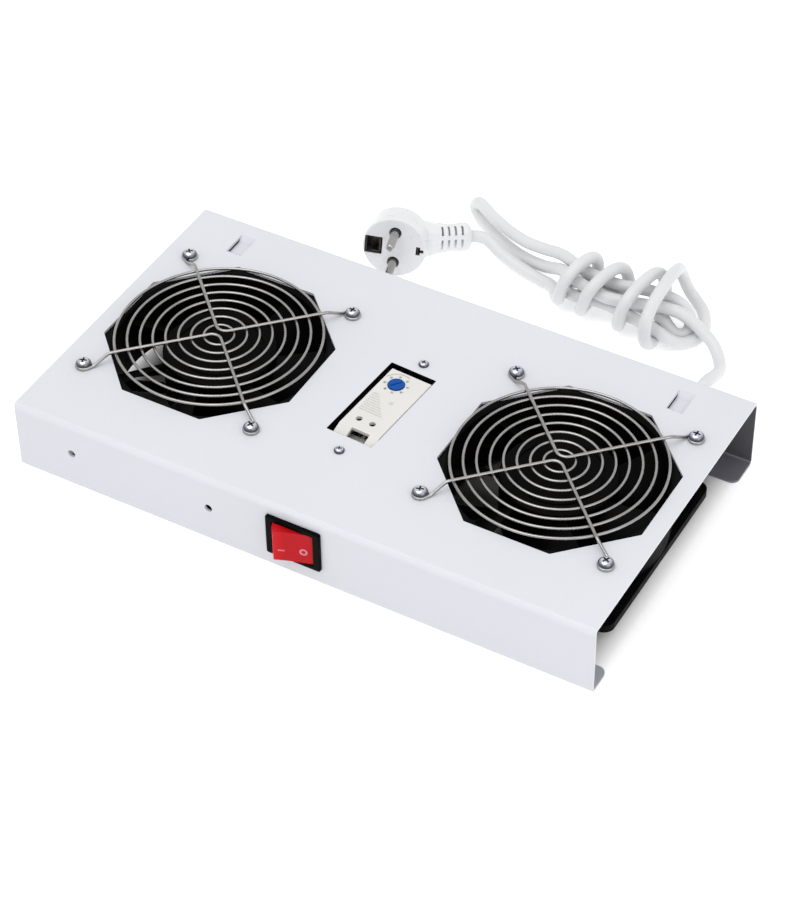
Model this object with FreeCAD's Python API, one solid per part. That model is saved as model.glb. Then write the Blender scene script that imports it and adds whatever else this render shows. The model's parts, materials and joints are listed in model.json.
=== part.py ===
import FreeCAD, Part
import math
import os

# Rack fan tray: a bent sheet channel with two 120 mm fans under wire guards, a
# thermostat, a rocker switch and a mains lead.  Millimetres, +Z up, front is -Y.
# The model is drawn about the tray's own middle and shifted once, when it is
# written, so that the origin is the bottom centre of the tray's box.

V = FreeCAD.Vector

# ---------------------------------------------------------------- dimensions
TRAY_W = 342.0          # tray width, X
TRAY_D = 190.0          # tray depth, Y
TRAY_H = 44.0           # tray height, one rack unit less clearance
SHEET = 1.5             # sheet thickness
BEND_R = 2.5            # outside bend radius
LIP_REAR = 20.0         # rear return lip, measured from the outer face
LIP_FRONT = 17.0        # front return lip
LIP_CORNER = 4.5        # rounded free corners of the lips

FAN_PITCH = 205.6       # distance between the two fan axes
FAN_SIDE = 119.6        # fan frame side
FAN_DEPTH = 38.0        # fan frame depth
FAN_HOLES = 105.0       # fan screw square
FAN_CORNER = 6.0
FAN_FLANGE = 4.5
BARREL_R = 59.6
BORE_R = 57.6
OCT_FLATS = 117.0       # octagonal opening, across flats

HUB_R = 31.0
HUB_IN_R = 28.6
HUB_TOP = 39.5          # above the resting surface
HUB_LOW = 8.5
BLADES = 7
BLADE_TIP_R = 56.4
SHAFT_R = 2.5

RING_R0 = 8.2           # finger guard: innermost ring
RING_STEP = 6.87
RINGS = 8
RING_WIRE = 0.8         # wire radius
SPOKE_WIRE = 0.9
RING_H = 4.1            # ring wire centre above the plate
LOOP_R = 3.7            # eye round each guard screw

SCREW_R = 2.0           # M4 guard screws
SCREW_HEAD_R = 4.0
SCREW_HEAD_H = 2.6

TH_X0, TH_X1 = -11.8, 13.0      # thermostat box, before its small turn
TH_Y0, TH_Y1 = -33.0, 24.4
TH_TOP = 44.6
TH_LOW = 9.5
CUT_X0, CUT_X1 = -15.0, 13.3    # thermostat cut-out in the plate
CUT_Y0, CUT_Y1 = -33.3, 28.6
TH_TURN = -3.9                  # the cut-out and all it holds stand a little askew
TH_C = (0.5, -3.5, 0)
KNOB_X, KNOB_Y, KNOB_R = -2.5, 14.0, 4.5
BRK_X = 0.5                     # thermostat bracket
BRK_HOLE_Y = (36.0, -44.0)

SW_X, SW_Z = 0.5, 23.5          # rocker switch centre on the front flange
SW_BEZEL_W, SW_BEZEL_H = 32.0, 26.0
SW_BODY_W, SW_BODY_H = 30.0, 22.0
SW_TILT = 18.5                  # rocker half travel, degrees
SEESAW_TILT = 8.0

HOLE_R = 2.3                    # front flange fixing holes
HOLES_X = (-136.3, -51.2)
HOLE_Z = 23.2

LANCE_X0, LANCE_X1 = 131.0, 140.5   # cable-tie lances
LANCE_Y0, LANCE_Y1 = 67.0, 84.0
LANCE_DROP = 3.2

GLAND_X, GLAND_Z = 128.0, 15.0
CORD_R = 3.6                    # mains cord, 7.2 mm

BLOCK_X0, BLOCK_X1 = 22.0, 44.0
EARTH_X, EARTH_Z = 66.0, 30.0

ZT = TRAY_H
ZU = TRAY_H - SHEET             # underside of the plate
FAN_Z1 = ZU
FAN_Z0 = ZU - FAN_DEPTH
FR = -TRAY_D / 2.0              # outer face of the front flange
RR = TRAY_D / 2.0               # outer face of the rear flange
OCT_A = OCT_FLATS / 2.0

parts = {}


# ------------------------------------------------------------------- helpers
def box(x0, y0, z0, x1, y1, z1):
    return Part.makeBox(x1 - x0, y1 - y0, z1 - z0, V(x0, y0, z0))


def cyl(r, p, q):
    p, q = V(*p), V(*q)
    d = q.sub(p)
    return Part.makeCylinder(r, d.Length, p, d)


def ring(r_out, r_in, p, q):
    p_, q_ = V(*p), V(*q)
    d = q_.sub(p_)
    d.normalize()
    a = p_.sub(d)
    b = q_.add(d)
    return cyl(r_out, p, q).cut(Part.makeCylinder(r_in, b.sub(a).Length, a, d))


def prism(pts, vec):
    w = Part.makePolygon([V(*p) for p in pts] + [V(*pts[0])])
    return Part.Face(w).extrude(V(*vec))


def rrect_x(x0, x1, y0, y1, z0, z1, r):
    """Bar along X whose Y-Z section is a rectangle with rounded corners."""
    s = box(x0, y0, z0, x1, y1, z1)
    e = [k for k in s.Edges if abs(k.tangentAt(k.FirstParameter).x) > 0.99]
    return s.makeFillet(r, e)


def rrect_z(x0, y0, x1, y1, z0, z1, r):
    s = box(x0, y0, z0, x1, y1, z1)
    e = [k for k in s.Edges if abs(k.tangentAt(k.FirstParameter).z) > 0.99]
    return s.makeFillet(r, e)


def rrect_y(x0, z0, x1, z1, y0, y1, r):
    s = box(x0, y0, z0, x1, y1, z1)
    e = [k for k in s.Edges if abs(k.tangentAt(k.FirstParameter).y) > 0.99]
    return s.makeFillet(r, e)


def route_edges(pts, radii=None):
    P = [V(*p) for p in pts]
    edges, rs = [], []
    cur = P[0]
    length = 0.0
    for i in range(1, len(P) - 1):
        a = P[i].sub(P[i - 1])
        b = P[i + 1].sub(P[i])
        la, lb = a.Length, b.Length
        a.normalize()
        b.normalize()
        ang = a.getAngle(b)
        if radii is None:
            t = 0.45 * min(la, lb)
            R = t / math.tan(ang / 2.0)
        else:
            R = radii[i - 1]
            t = R * math.tan(ang / 2.0)
        s = P[i].sub(V(a).multiply(t))
        e = P[i].add(V(b).multiply(t))
        bis = b.sub(a)
        bis.normalize()
        c = P[i].add(V(bis).multiply(R / math.cos(ang / 2.0)))
        m = c.sub(V(bis).multiply(R))
        edges.append(Part.LineSegment(cur, s).toShape())
        edges.append(Part.Arc(s, m, e).toShape())
        length += s.sub(cur).Length + R * ang
        rs.append(R)
        cur = e
    edges.append(Part.LineSegment(cur, P[-1]).toShape())
    length += P[-1].sub(cur).Length
    return edges, rs, length


def tube(pts, r, name=None, radii=None):
    edges, rs, length = route_edges(pts, radii)
    path = Part.Wire(edges)
    start = V(*pts[0])
    prof = Part.Wire([Part.makeCircle(r, start, V(*pts[1]).sub(start))])
    s = path.makePipeShell([prof], True, False)
    if name:
        want = math.pi * r * r * length
        print("%s: length %.1f, radii %s, volume/expected %.4f" % (
            name, length, " ".join("%.1f" % k for k in rs), s.Volume / want))
    return s


def pan_screw(r, head_r, head_h, length, recess=True):
    """Pan head screw, head under face at z = 0, shank down."""
    a = head_h * 0.42
    e = [Part.LineSegment(V(0, 0, 0), V(head_r, 0, 0)).toShape(),
         Part.LineSegment(V(head_r, 0, 0), V(head_r, 0, a)).toShape(),
         Part.Arc(V(head_r, 0, a), V(head_r * 0.72, 0, head_h * 0.86), V(0, 0, head_h)).toShape(),
         Part.LineSegment(V(0, 0, head_h), V(0, 0, 0)).toShape()]
    head = Part.Face(Part.Wire(e)).revolve(V(0, 0, 0), V(0, 0, 1), 360)
    if recess:
        w, l = head_r * 0.13, head_r * 0.52
        head = head.cut(box(-l, -w, head_h * 0.45, l, w, head_h + 1))
        head = head.cut(box(-w, -l, head_h * 0.45, w, l, head_h + 1))
    shank = Part.makeCylinder(r, length, V(0, 0, -length))
    tip = Part.makeCone(r * 0.7, r, r * 0.5, V(0, 0, -length - r * 0.5))
    return head.fuse(shank).fuse(tip).removeSplitter()


def hex_nut(af, t, r):
    R = af / math.sqrt(3.0)
    pts = [(R * math.cos(math.radians(60 * k)), R * math.sin(math.radians(60 * k)), 0) for k in range(6)]
    n = prism(pts, (0, 0, t))
    n = n.common(Part.makeCone(R * 0.93, R * 1.6, t, V(0, 0, 0))).common(
        Part.makeCone(R * 1.6, R * 0.93, t, V(0, 0, 0)))
    return n.cut(Part.makeCylinder(r, t + 2, V(0, 0, -1)))


def moved(s, x=0.0, y=0.0, z=0.0):
    c = s.copy()
    c.translate(V(x, y, z))
    return c


def turned(s, centre, axis, deg):
    c = s.copy()
    c.rotate(V(*centre), V(*axis), deg)
    return c


def group(solids):
    out = []
    for s in solids:
        out += s.Solids
    return Part.makeCompound(out)


def solid(s):
    return s.Solids[0] if len(s.Solids) == 1 else s


# ------------------------------------------------------------- tray chassis
X0, X1 = -TRAY_W / 2.0, TRAY_W / 2.0
outer = rrect_x(X0, X1, FR, RR, 0, TRAY_H, BEND_R)
inner = rrect_x(X0 - 1, X1 + 1, FR + SHEET, RR - SHEET, SHEET, ZU, BEND_R - SHEET)
tray = outer.cut(inner)
tray = tray.cut(box(X0 - 1, FR + LIP_FRONT, -1, X1 + 1, RR - LIP_REAR, SHEET + 0.5))
for sx in (-1, 1):
    for yl, sy in ((FR + LIP_FRONT, -1), (RR - LIP_REAR, 1)):
        xe, c = sx * TRAY_W / 2.0, LIP_CORNER
        cx, cy = xe - sx * c, yl + sy * c
        cut = box(min(cx, xe + sx), min(yl - sy, cy), -1, max(cx, xe + sx), max(yl - sy, cy), SHEET + 0.4)
        cut = cut.cut(cyl(c, (cx, cy, -2), (cx, cy, SHEET + 2)))
        tray = tray.cut(cut)

for sx in (-1, 1):
    cx = sx * FAN_PITCH / 2.0
    R = OCT_A / math.cos(math.pi / 8)
    pts = [(cx + R * math.cos(math.pi / 8 + k * math.pi / 4), R * math.sin(math.pi / 8 + k * math.pi / 4), ZU - 1)
           for k in range(8)]
    octo = prism(pts, (0, 0, SHEET + 2))
    octo = octo.makeFillet(1.2, [k for k in octo.Edges if abs(k.tangentAt(k.FirstParameter).z) > 0.99])
    tray = tray.cut(octo)
    for ax in (-1, 1):
        for ay in (-1, 1):
            x, y = cx + ax * FAN_HOLES / 2, ay * FAN_HOLES / 2
            tray = tray.cut(cyl(2.25, (x, y, ZU - 1), (x, y, ZT + 1)))

tray = tray.cut(turned(rrect_z(CUT_X0, CUT_Y0, CUT_X1, CUT_Y1, ZU - 1, ZT + 1, 0.6), TH_C, (0, 0, 1), TH_TURN))
for y in BRK_HOLE_Y:
    tray = tray.cut(turned(cyl(1.7, (BRK_X, y, ZU - 1), (BRK_X, y, ZT + 1)), TH_C, (0, 0, 1), TH_TURN))
tray = tray.cut(rrect_y(SW_X - 15.2, SW_Z - 11.2, SW_X + 15.2, SW_Z + 11.2, FR - 1, FR + SHEET + 1, 1.0))
for x in HOLES_X:
    tray = tray.cut(cyl(HOLE_R, (x, FR - 1, HOLE_Z), (x, FR + SHEET + 1, HOLE_Z)))
tray = tray.cut(cyl(6.5, (GLAND_X, RR - SHEET - 1, GLAND_Z), (GLAND_X, RR + 1, GLAND_Z)))
tray = tray.cut(cyl(2.2, (EARTH_X, RR - SHEET - 1, EARTH_Z), (EARTH_X, RR + 1, EARTH_Z)))
for z in (17.0, 27.0):
    tray = tray.cut(cyl(1.7, (33, RR - SHEET - 1, z), (33, RR + 1, z)))

for sx in (-1, 1):
    xa, xb = sorted((sx * LANCE_X0, sx * LANCE_X1))
    tray = tray.cut(box(xa, LANCE_Y0, ZU - 1, xb, LANCE_Y1, ZT + 1))
    y0, y1, d, s = LANCE_Y0 - 0.01, LANCE_Y1 + 0.01, LANCE_DROP, SHEET
    strap = prism([(xa, y0, ZT), (xa, y0 + 4.0, ZT - d), (xa, y1 - 4.0, ZT - d), (xa, y1, ZT),
                   (xa, y1, ZT - s), (xa, y1 - 3.4, ZT - s - d), (xa, y0 + 3.4, ZT - s - d), (xa, y0, ZT - s)],
                  (xb - xa, 0, 0))
    tray = tray.fuse(strap)
tray = tray.removeSplitter()
parts["tray_chassis"] = solid(tray)


# --------------------------------------------------------------------- fans
def fan_housing():
    h = FAN_SIDE / 2.0
    s = rrect_z(-h, -h, h, h, FAN_Z0, FAN_Z0 + FAN_FLANGE, FAN_CORNER)
    s = s.fuse(rrect_z(-h, -h, h, h, FAN_Z1 - FAN_FLANGE, FAN_Z1, FAN_CORNER))
    s = s.fuse(Part.makeCylinder(BARREL_R, FAN_DEPTH - 1.0, V(0, 0, FAN_Z0 + 0.5)))
    for k in range(4):
        web = box(BARREL_R - 2, -1.5, FAN_Z0 + 1, 68.5, 1.5, FAN_Z1 - 1)
        s = s.fuse(turned(web, (0, 0, 0), (0, 0, 1), 45 + 90 * k))
    s = s.cut(Part.makeCylinder(BORE_R, FAN_DEPTH + 2, V(0, 0, FAN_Z0 - 1)))
    s = s.cut(Part.makeCone(BORE_R, BORE_R + 1.6, 1.6, V(0, 0, FAN_Z1 - 1.6)))
    for ax in (-1, 1):
        for ay in (-1, 1):
            x, y = ax * FAN_HOLES / 2, ay * FAN_HOLES / 2
            s = s.cut(cyl(2.15, (x, y, FAN_Z0 - 1), (x, y, FAN_Z1 + 1)))
    base = Part.makeCylinder(30.0, 2.5, V(0, 0, FAN_Z0))
    for k in range(4):
        strut = box(26.0, -2.5, FAN_Z0, BORE_R + 1.0, 2.5, FAN_Z0 + 4.0)
        base = base.fuse(turned(strut, (0, 0, 0), (0, 0, 1), 22 + 90 * k))
    # the struts stay clear of the turning hub
    base = base.cut(ring(33.0, 24.0, (0, 0, FAN_Z0 + 2.5), (0, 0, FAN_Z0 + 8)))
    tube_ = ring(7.0, 5.5, (0, 0, FAN_Z0 + 2.0), (0, 0, 30.0))
    tube_ = tube_.cut(Part.makeCylinder(5.5, 40, V(0, 0, FAN_Z0 + 2.5)))
    return s.fuse(base).fuse(tube_).removeSplitter()


def blade():
    wires = []
    for R, beta, c, sag, th, skew in ((27.0, 54, 26, 2.2, 2.2, -1.0), (42.0, 43, 33, 2.8, 1.8, 2.5), (60.0, 34, 40, 3.0, 1.4, 9.0)):
        b = math.radians(beta)
        e = (math.cos(b), math.sin(b))
        n = (-math.sin(b), math.cos(b))

        def pt(u, v):
            return V(R, skew + e[0] * u + n[0] * v, 24.8 + e[1] * u + n[1] * v)
        h = 0.35
        up = Part.Arc(pt(-c / 2, h), pt(0, sag + th / 2), pt(c / 2, h)).toShape()
        dn = Part.Arc(pt(c / 2, -h), pt(0, sag - th / 2), pt(-c / 2, -h)).toShape()
        l1 = Part.LineSegment(pt(c / 2, h), pt(c / 2, -h)).toShape()
        l2 = Part.LineSegment(pt(-c / 2, -h), pt(-c / 2, h)).toShape()
        wires.append(Part.Wire([up, l1, dn, l2]))
    s = Part.makeLoft(wires, True, False)
    s = s.common(ring(BLADE_TIP_R, HUB_R - 1.2, (0, 0, 0), (0, 0, 45)))
    return solid(s)


def impeller():
    cup = Part.makeCylinder(HUB_R, HUB_TOP - HUB_LOW, V(0, 0, HUB_LOW))
    top = [k for k in cup.Edges if k.BoundBox.ZMin > HUB_TOP - 0.1 and k.Length > 50]
    cup = cup.makeFillet(1.5, top)
    cup = cup.cut(Part.makeCylinder(HUB_IN_R, HUB_TOP - 2.5 - HUB_LOW + 1, V(0, 0, HUB_LOW - 1)))
    cup = cup.cut(ring(24.0, 22.5, (0, 0, HUB_TOP - 0.5), (0, 0, HUB_TOP + 1)))
    boss = Part.makeCylinder(6.0, 6.5, V(0, 0, 31.0))
    s = cup.fuse(boss)
    b = blade()
    s = s.multiFuse([turned(b, (0, 0, 0), (0, 0, 1), 360.0 / BLADES * k) for k in range(BLADES)])
    s = s.cut(Part.makeCylinder(SHAFT_R + 0.02, 7.6, V(0, 0, 30.5)))
    return solid(s.removeSplitter())


def stator():
    core = ring(25.0, 7.05, (0, 0, 14), (0, 0, 26))
    for k in range(4):
        core = core.cut(turned(box(11.8, -7.2, 13, 21.2, 7.2, 27), (0, 0, 0), (0, 0, 1), 45 + 90 * k))
    coils = []
    for k in range(4):
        coil = rrect_z(12.0, -7.0, 21.0, 7.0, 11.5, 28.5, 1.5)
        coils.append(turned(coil, (0, 0, 0), (0, 0, 1), 45 + 90 * k))
    return solid(core), group(coils)


def guard():
    zr = ZT + RING_H
    zs = zr + RING_WIRE + SPOKE_WIRE - 0.12
    zl = ZT + SPOKE_WIRE
    rings_ = [Part.makeTorus(RING_R0 + RING_STEP * k, RING_WIRE, V(0, 0, zr)) for k in range(RINGS)]
    h = FAN_HOLES / 2.0

    def leg(a):
        """Points and eye of one spoke leg, pointing out along angle a."""
        d = V(math.cos(a), math.sin(a), 0)
        S = V(d).multiply(h * math.sqrt(2.0))
        S.z = zl
        A = V(d).multiply(60.2)
        A.z = zs
        flat = V(S.x - A.x, S.y - A.y, 0)
        L = flat.Length
        off = math.asin(LOOP_R / L)
        u = V(flat)
        u.normalize()
        c, s = math.cos(off), math.sin(off)
        t = V(u.x * c - u.y * s, u.x * s + u.y * c, 0)      # tangent line, eye on its right
        tl = math.sqrt(L * L - LOOP_R * LOOP_R)
        B = V(A.x, A.y, 0).add(V(t).multiply(tl))
        B.z = zl
        C = V(A.x, A.y, 0).add(V(t).multiply(tl - 4.2))
        C.z = zl
        # eye: clockwise from B round S
        v = B.sub(S)
        a0 = math.atan2(v.y, v.x)
        sweep = math.radians(302)
        pm = V(S.x + LOOP_R * math.cos(a0 - sweep / 2), S.y + LOOP_R * math.sin(a0 - sweep / 2), zl)
        pe = V(S.x + LOOP_R * math.cos(a0 - sweep), S.y + LOOP_R * math.sin(a0 - sweep), zl)
        return A, C, B, pm, pe

    spokes = []
    for a1, a2 in ((math.radians(135), math.radians(45)), (math.radians(225), math.radians(315))):
        A1, C1, B1, m1, e1 = leg(a1)
        A2, C2, B2, m2, e2 = leg(a2)
        mid = (0, 0, zs)
        pts = [tuple(B1), tuple(C1), tuple(A1), mid, tuple(A2), tuple(C2), tuple(B2)]
        edges, rs, L = route_edges(pts, [5.0, 6.0, 5.5, 6.0, 5.0])
        allp = [Part.Arc(e1, m1, B1).toShape()] + edges + [Part.Arc(B2, m2, e2).toShape()]
        path = Part.Wire(Part.__sortEdges__(allp))
        r = e1.sub(V(h * math.sqrt(2.0) * math.cos(a1), h * math.sqrt(2.0) * math.sin(a1), zl))
        tan = V(-r.y, r.x, 0)
        prof = Part.Wire([Part.makeCircle(SPOKE_WIRE, e1, tan)])
        spokes.append(path.makePipeShell([prof], True, False))
    s = spokes[0].multiFuse([spokes[1]] + rings_)
    return s


housing = fan_housing()
rotor = impeller()
core, coils = stator()
wire_guard = guard()
print("guard solids", len(wire_guard.Solids), "valid", wire_guard.isValid())

for side, sx in (("left", -1), ("right", 1)):
    cx = sx * FAN_PITCH / 2.0
    if side == "right":
        parts["fan_housing_right"] = moved(solid(housing), cx)
    else:
        parts["fan_housing_left"] = moved(turned(solid(housing), (0, 0, 0), (0, 0, 1), 90), cx)
    parts["fan_impeller_" + side] = moved(turned(rotor, (0, 0, 0), (0, 0, 1), 8 if side == "left" else 31), cx)
    parts["fan_shaft_" + side] = moved(Part.makeCylinder(SHAFT_R, 29.5, V(0, 0, 8.2)), cx)
    parts["fan_rotor_ring_" + side] = moved(solid(ring(HUB_IN_R - 0.05, 25.6, (0, 0, 11), (0, 0, 31))), cx)
    parts["fan_bearings_" + side] = moved(group([
        ring(5.45, SHAFT_R + 0.04, (0, 0, 9.5), (0, 0, 13.5)),
        ring(5.45, SHAFT_R + 0.04, (0, 0, 25.0), (0, 0, 29.0))]), cx)
    parts["fan_stator_core_" + side] = moved(core, cx)
    parts["fan_windings_" + side] = moved(coils, cx)
    parts["finger_guard_" + side] = moved(solid(wire_guard), cx)

screw = pan_screw(SCREW_R, SCREW_HEAD_R, SCREW_HEAD_H, 12.5)
nut = hex_nut(7.0, 3.2, SCREW_R + 0.06)
scr, nts = [], []
n = 0
for sx in (-1, 1):
    for ax in (-1, 1):
        for ay in (-1, 1):
            x = sx * FAN_PITCH / 2.0 + ax * FAN_HOLES / 2
            y = ay * FAN_HOLES / 2
            scr.append(moved(turned(screw, (0, 0, 0), (0, 0, 1), 17 + 23 * n), x, y, ZT + 2 * SPOKE_WIRE))
            nts.append(moved(turned(nut, (0, 0, 0), (0, 0, 1), 11 * n), x, y, ZU - FAN_FLANGE - 3.2))
            n += 1
m4_screws, m4_nuts = scr, nts

# --------------------------------------------------------------- thermostat
WALL = 1.8
body = box(TH_X0, TH_Y0, TH_LOW, TH_X1, TH_Y1, 42.6)
body = body.cut(box(TH_X0 + WALL, TH_Y0 + WALL, TH_LOW + WALL, TH_X1 - WALL, TH_Y1 - WALL, 50))
body = body.cut(prism([(TH_X0 - 1, TH_Y0 + 8.1, 43.5), (TH_X0 - 1, TH_Y0 + 8.1, 42.6), (TH_X0 - 1, TH_Y0 + WALL, 40.2),
                       (TH_X0 - 1, TH_Y0 + WALL, 36.0), (TH_X0 - 1, TH_Y0 - 1, 36.0), (TH_X0 - 1, TH_Y0 - 1, 43.5)],
                      (TH_X1 - TH_X0 + 2, 0, 0)))
body = body.cut(cyl(2.3, (TH_X1 - 3, -25, 30), (TH_X1 + 1, -25, 30)))
louvres = [box(TH_X0 - 1, y, 16, TH_X0 + WALL + 1, y + 1.6, 32) for y in (-8, -3, 2, 7, 12, 17)]
louvres += [box(TH_X1 - WALL - 1, y, 16, TH_X1 + 1, y + 1.6, 32) for y in (-8, -3, 2, 7, 12, 17)]
body = body.cut(Part.makeCompound(louvres))
parts["thermostat_housing"] = solid(body)

cover = prism([(TH_X0, TH_Y1, 42.6), (TH_X0, TH_Y1, TH_TOP), (TH_X0, TH_Y0 + 8.5, TH_TOP), (TH_X0, TH_Y0, 41.4),
               (TH_X0, TH_Y0, 36.0), (TH_X0, TH_Y0 + WALL, 36.0), (TH_X0, TH_Y0 + WALL, 40.2),
               (TH_X0, TH_Y0 + 8.1, 42.6)], (TH_X1 - TH_X0, 0, 0))
ed = [k for k in cover.Edges if k.BoundBox.ZMin > TH_TOP - 0.05 and k.BoundBox.ZMax < TH_TOP + 0.05]
cover = cover.makeFillet(0.6, ed)
cover = cover.cut(box(-4.0, TH_Y0 + 1.8, 37.5, 7.2, TH_Y0 + 7.4, 46))
cover = cover.cut(cyl(2.06, (KNOB_X, KNOB_Y, 40), (KNOB_X, KNOB_Y, 46)))
cover = cover.cut(cyl(KNOB_R + 0.35, (KNOB_X, KNOB_Y, TH_TOP - 1.0), (KNOB_X, KNOB_Y, 46)))
TERM_X = (-4.3, 4.0)
TERM_Y = -18.4
for x in TERM_X:
    cover = cover.cut(cyl(1.8, (x, TERM_Y, 40), (x, TERM_Y, 46)))
parts["thermostat_cover"] = solid(cover)

knob = Part.makeCylinder(KNOB_R, 1.5, V(KNOB_X, KNOB_Y, TH_TOP - 0.7))
knob = knob.makeFillet(0.35, [k for k in knob.Edges if k.BoundBox.ZMin > TH_TOP + 0.7 and k.Length > 20])
for k in range(24):
    a = math.radians(15 * k)
    knob = knob.cut(cyl(0.28, (KNOB_X + (KNOB_R + 0.08) * math.cos(a), KNOB_Y + (KNOB_R + 0.08) * math.sin(a), 40),
                        (KNOB_X + (KNOB_R + 0.08) * math.cos(a), KNOB_Y + (KNOB_R + 0.08) * math.sin(a), 50)))
slot = box(KNOB_X - 0.45, KNOB_Y - 3.2, TH_TOP + 0.3, KNOB_X + 0.45, KNOB_Y + 3.2, TH_TOP + 3)
knob = knob.cut(turned(slot, (KNOB_X, KNOB_Y, 0), (0, 0, 1), -35))
knob = knob.cut(cyl(2.02, (KNOB_X, KNOB_Y, 40), (KNOB_X, KNOB_Y, TH_TOP + 0.1)))
parts["thermostat_knob"] = solid(knob)
spindle = cyl(2.0, (KNOB_X, KNOB_Y, 27), (KNOB_X, KNOB_Y, TH_TOP + 0.05))
cam = Part.makeCylinder(4.2, 3.0, V(KNOB_X + 1.6, KNOB_Y, 29))
parts["thermostat_spindle"] = solid(spindle.fuse(cam).removeSplitter())

base = box(-9.7, -30.8, 22, 10.7, -14.0, 35.5)
for x in TERM_X:
    base = base.cut(box(x - 3.2, -22.2, 26, x + 3.2, -13.8, 36))
parts["thermostat_terminal_base"] = solid(base)
clamps, tscrews = [], []
for x in TERM_X:
    c = box(x - 3.0, -22.0, 26.2, x + 3.0, -14.0, 35.2)
    c = c.cut(box(x - 1.8, -22.4, 27.6, x + 1.8, -13.6, 31.6)).cut(cyl(1.56, (x, TERM_Y, 31), (x, TERM_Y, 36)))
    clamps.append(c)
    t = cyl(1.5, (x, TERM_Y, 31.8), (x, TERM_Y, 39.2)).fuse(cyl(2.3, (x, TERM_Y, 39.1), (x, TERM_Y, 41.0)))
    t = t.cut(turned(box(x - 3, TERM_Y - 0.4, 40.1, x + 3, TERM_Y + 0.4, 45), (x, TERM_Y, 0), (0, 0, 1), -12))
    tscrews.append(solid(t.removeSplitter()))
parts["thermostat_terminal_clamps"] = group(clamps)
parts["thermostat_terminal_screws"] = group(tscrews)
strip = box(-8.9, -13.8, 20, -8.3, 22, 28).fuse(box(-8.9, -13.8, 20, -4, -13.2, 28))
parts["thermostat_bimetal"] = solid(strip.removeSplitter())
snap = box(7.6, -13.8, 21, 8.1, 6, 27).fuse(box(3.0, -13.8, 21, 8.1, -13.3, 27)).fuse(cyl(1.6, (5.9, 4, 24), (7.7, 4, 24)))
parts["thermostat_snap_contact"] = solid(snap.removeSplitter())

t = 1.5
bw = 20.0
xb = BRK_X - bw / 2
U = [(xb, 32, ZU), (xb, 41.5, ZU), (xb, 41.5, 5.0), (xb, -38, 5.0), (xb, -38, ZU - t), (xb, -48.5, ZU - t), (xb, -48.5, ZU),
     (xb, -36.5, ZU), (xb, -36.5, 6.5), (xb, 40, 6.5), (xb, 40, ZU - t), (xb, 32, ZU - t)]
brk = prism(U, (bw, 0, 0))
for y in BRK_HOLE_Y:
    brk = brk.cut(cyl(1.7, (BRK_X, y, 30), (BRK_X, y, 50)))
for y in (-16.0, 10.0):
    brk = brk.cut(box(BRK_X - 5.5, y - 1.6, 4, BRK_X + 5.5, y + 1.6, 8))
brk = brk.cut(box(BRK_X - 6.5, -9, 4, BRK_X + 6.5, 3, 8))
parts["thermostat_bracket"] = solid(brk)
foot = box(BRK_X - 8, -20, 6.5, BRK_X + 8, 14, TH_LOW)
for y, s in ((-16.0, -1), (10.0, 1)):
    foot = foot.fuse(box(BRK_X - 5, y - 0.9, 4.0, BRK_X + 5, y + 0.9, 7))
    foot = foot.fuse(prism([(BRK_X - 5, y, 4.9), (BRK_X - 5, y + s * 2.6, 4.9), (BRK_X - 5, y + s * 0.9, 3.4), (BRK_X - 5, y, 3.4)], (10, 0, 0)))
parts["thermostat_spring_foot"] = solid(foot.removeSplitter())
m3 = pan_screw(1.5, 2.8, 1.9, 6.6)
m3n = hex_nut(5.5, 2.4, 1.55)
parts["bracket_screws"] = group([moved(turned(m3, (0, 0, 0), (0, 0, 1), 30 * k), BRK_X, y, ZT) for k, y in enumerate(BRK_HOLE_Y)])
m3_nuts = [turned(moved(m3n, BRK_X, y, ZU - t - 2.4), TH_C, (0, 0, 1), TH_TURN) for y in BRK_HOLE_Y]
for n in ("thermostat_housing", "thermostat_cover", "thermostat_knob", "thermostat_spindle", "thermostat_terminal_base",
          "thermostat_terminal_clamps", "thermostat_terminal_screws", "thermostat_bimetal", "thermostat_snap_contact",
          "thermostat_bracket", "thermostat_spring_foot", "bracket_screws"):
    parts[n] = turned(parts[n], TH_C, (0, 0, 1), TH_TURN)

# ------------------------------------------------------------ rocker switch
BF = FR - 2.0                       # bezel front face
bez = rrect_y(SW_X - SW_BEZEL_W / 2, SW_Z - SW_BEZEL_H / 2, SW_X + SW_BEZEL_W / 2, SW_Z + SW_BEZEL_H / 2, BF, FR, 1.2)
rim = [k for k in bez.Edges if k.BoundBox.YMax < BF + 0.01]
bez = bez.makeFillet(0.7, rim)
sb = rrect_y(SW_X - SW_BODY_W / 2, SW_Z - SW_BODY_H / 2, SW_X + SW_BODY_W / 2, SW_Z + SW_BODY_H / 2, FR - 0.5, -74.0, 1.0)
sw = bez.fuse(sb)
sw = sw.cut(box(SW_X - 12.2, BF - 1, SW_Z - 10.3, SW_X + 12.2, -79.5, SW_Z + 10.3))
PIV = -94.0
sw = sw.cut(cyl(1.55, (SW_X, PIV, SW_Z - 10.75), (SW_X, PIV, SW_Z + 10.75)))
TAB = [(-7.5, -5.5), (-7.5, 5.5), (7.5, -5.5), (7.5, 5.5)]
for dx, dz in TAB:
    sw = sw.cut(box(SW_X + dx - 0.5, -80, SW_Z + dz - 3.25, SW_X + dx + 0.5, -73, SW_Z + dz + 3.25))
for sx in (-1, 1):                  # snap wings behind the flange
    wing = prism([(SW_X + sx * 14.9, FR + SHEET + 0.15, SW_Z - 4), (SW_X + sx * 16.6, FR + SHEET + 0.15, SW_Z - 4),
                  (SW_X + sx * 14.9, -84, SW_Z - 4)], (0, 0, 8))
    sw = sw.fuse(wing)
parts["switch_housing"] = solid(sw.removeSplitter())

a0, a1 = math.radians(-28.3), math.radians(10.0)
rk = 11.7


def onarc(a, s=1):
    return V(s * rk * math.cos(a), rk * math.sin(a), 0)


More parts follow.
